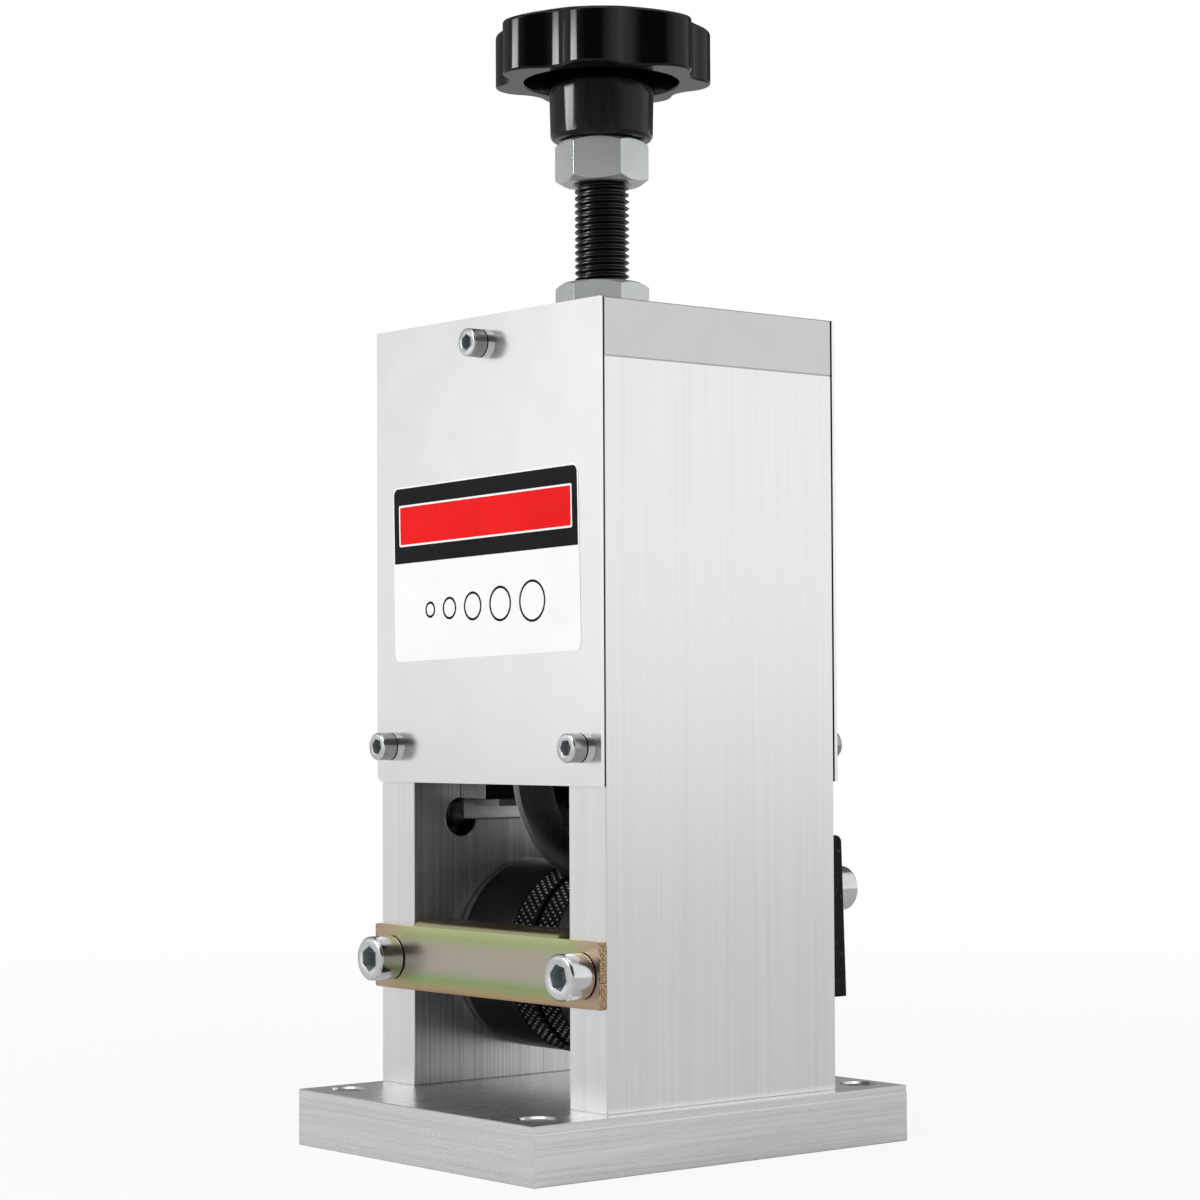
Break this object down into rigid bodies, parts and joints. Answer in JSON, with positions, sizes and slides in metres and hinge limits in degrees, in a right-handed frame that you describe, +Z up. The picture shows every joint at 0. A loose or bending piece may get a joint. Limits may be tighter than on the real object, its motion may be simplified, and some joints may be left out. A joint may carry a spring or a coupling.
{
  "type": "hand crank wire stripper",
  "caption": "Bench wire stripper: a crank turns a slotted roller under a round blade in a carriage that a screw with a star knob presses down between two thick plates.",
  "frame": {"origin": "on the base plate's underside, straight below the pressure screw", "axes": "+Z up, -Y the front where the wire comes out, +X to the machine's right as seen from the front; the crank is on -X"},
  "size_m": [0.2414, 0.2145, 0.411],
  "materials": {
    "brushed_aluminium": "fine brushed, light",
    "satin_aluminium": "satin",
    "zinc_plate": "bright zinc plated",
    "yellow_zinc": "yellow passivated zinc, faintly iridescent",
    "black_oxide": "black oxide, oiled",
    "ground_steel": "ground",
    "blade_steel": "ground hardened steel",
    "bronze": "turned bronze",
    "gloss_black": "moulded, glossy",
    "matte_black": "moulded, fine grain",
    "seal_rubber": "smooth",
    "label_film": "printed film, no lettering"
  },
  "bodies": {
    "frame": {"base_plate": "brushed_aluminium", "left_side_plate": "brushed_aluminium", "right_side_plate": "brushed_aluminium", "top_plate": "satin_aluminium", "front_cover": "satin_aluminium", "rear_cover": "satin_aluminium", "front_cover_screws": "zinc_plate", "rear_cover_screws": "zinc_plate", "cover_washers": "zinc_plate", "blank_label": "label_film", "base_screws": "zinc_plate", "top_plate_screws": "zinc_plate", "outlet_bracket": "yellow_zinc", "outlet_bracket_screws": "zinc_plate", "inlet_plate": "matte_black", "inlet_plate_screws": "zinc_plate", "shaft_seal": "seal_rubber", "left_bearing_outer_ring": "ground_steel", "right_bearing_outer_ring": "ground_steel", "left_bearing_clip": "ground_steel", "right_bearing_clip": "ground_steel"},
    "drive": {"drive_shaft": "ground_steel", "roller_key": "ground_steel", "feed_roller": "black_oxide", "roller_spacers": "ground_steel", "left_bearing_inner_ring": "ground_steel", "right_bearing_inner_ring": "ground_steel", "left_bearing_balls": "ground_steel", "right_bearing_balls": "ground_steel", "crank_arm": "black_oxide", "crank_washer": "zinc_plate", "crank_screw": "zinc_plate", "grip_spindle": "zinc_plate"},
    "grip": {"crank_grip": "gloss_black"},
    "carriage": {"crosshead": "brushed_aluminium", "left_bearing_block": "brushed_aluminium", "right_bearing_block": "brushed_aluminium", "left_axle_bush": "bronze", "right_axle_bush": "bronze", "left_keeper_plate": "ground_steel", "right_keeper_plate": "ground_steel", "keeper_screws": "zinc_plate", "block_screws": "zinc_plate", "thrust_washer": "bronze"},
    "blade": {"blade_axle": "ground_steel", "blade_disc": "blade_steel", "left_blade_flange": "black_oxide", "right_blade_flange": "black_oxide", "flange_screws": "black_oxide", "axle_spacers": "ground_steel"},
    "screw": {"pressure_screw": "black_oxide", "screw_collar": "black_oxide", "collar_pin": "ground_steel", "knob_nut": "zinc_plate", "star_knob": "gloss_black"},
    "lock_nut": {"lock_nut": "zinc_plate"}
  },
  "joints": [
    {"name": "crank_turn", "type": "hinge", "parent": "frame", "child": "drive", "pos_m": [0, 0, 0.066], "axis": [1, 0, 0], "continuous": true},
    {"name": "grip_spin", "type": "hinge", "parent": "drive", "child": "grip", "pos_m": [-0.12, 0.10895, 0.0157], "axis": [1, 0, 0], "continuous": true},
    {"name": "blade_lift", "type": "slide", "parent": "frame", "child": "carriage", "axis": [0, 0, 1], "range_m": [0, 0.032]},
    {"name": "blade_spin", "type": "hinge", "parent": "carriage", "child": "blade", "pos_m": [0, 0, 0.1347], "axis": [1, 0, 0], "continuous": true},
    {"name": "knob_turn", "type": "hinge", "parent": "carriage", "child": "screw", "pos_m": [0, 0, 0.3], "axis": [0, 0, 1], "range_deg": [0, 4610]},
    {"name": "lock_nut_turn", "type": "hinge", "parent": "frame", "child": "lock_nut", "pos_m": [0, 0, 0.304], "axis": [0, 0, 1], "range_deg": [0, 180]}
  ],
  "couplings": [
    {"joint": "knob_turn", "follows": "blade_lift", "rad_per_m": 2513.3}
  ]
}
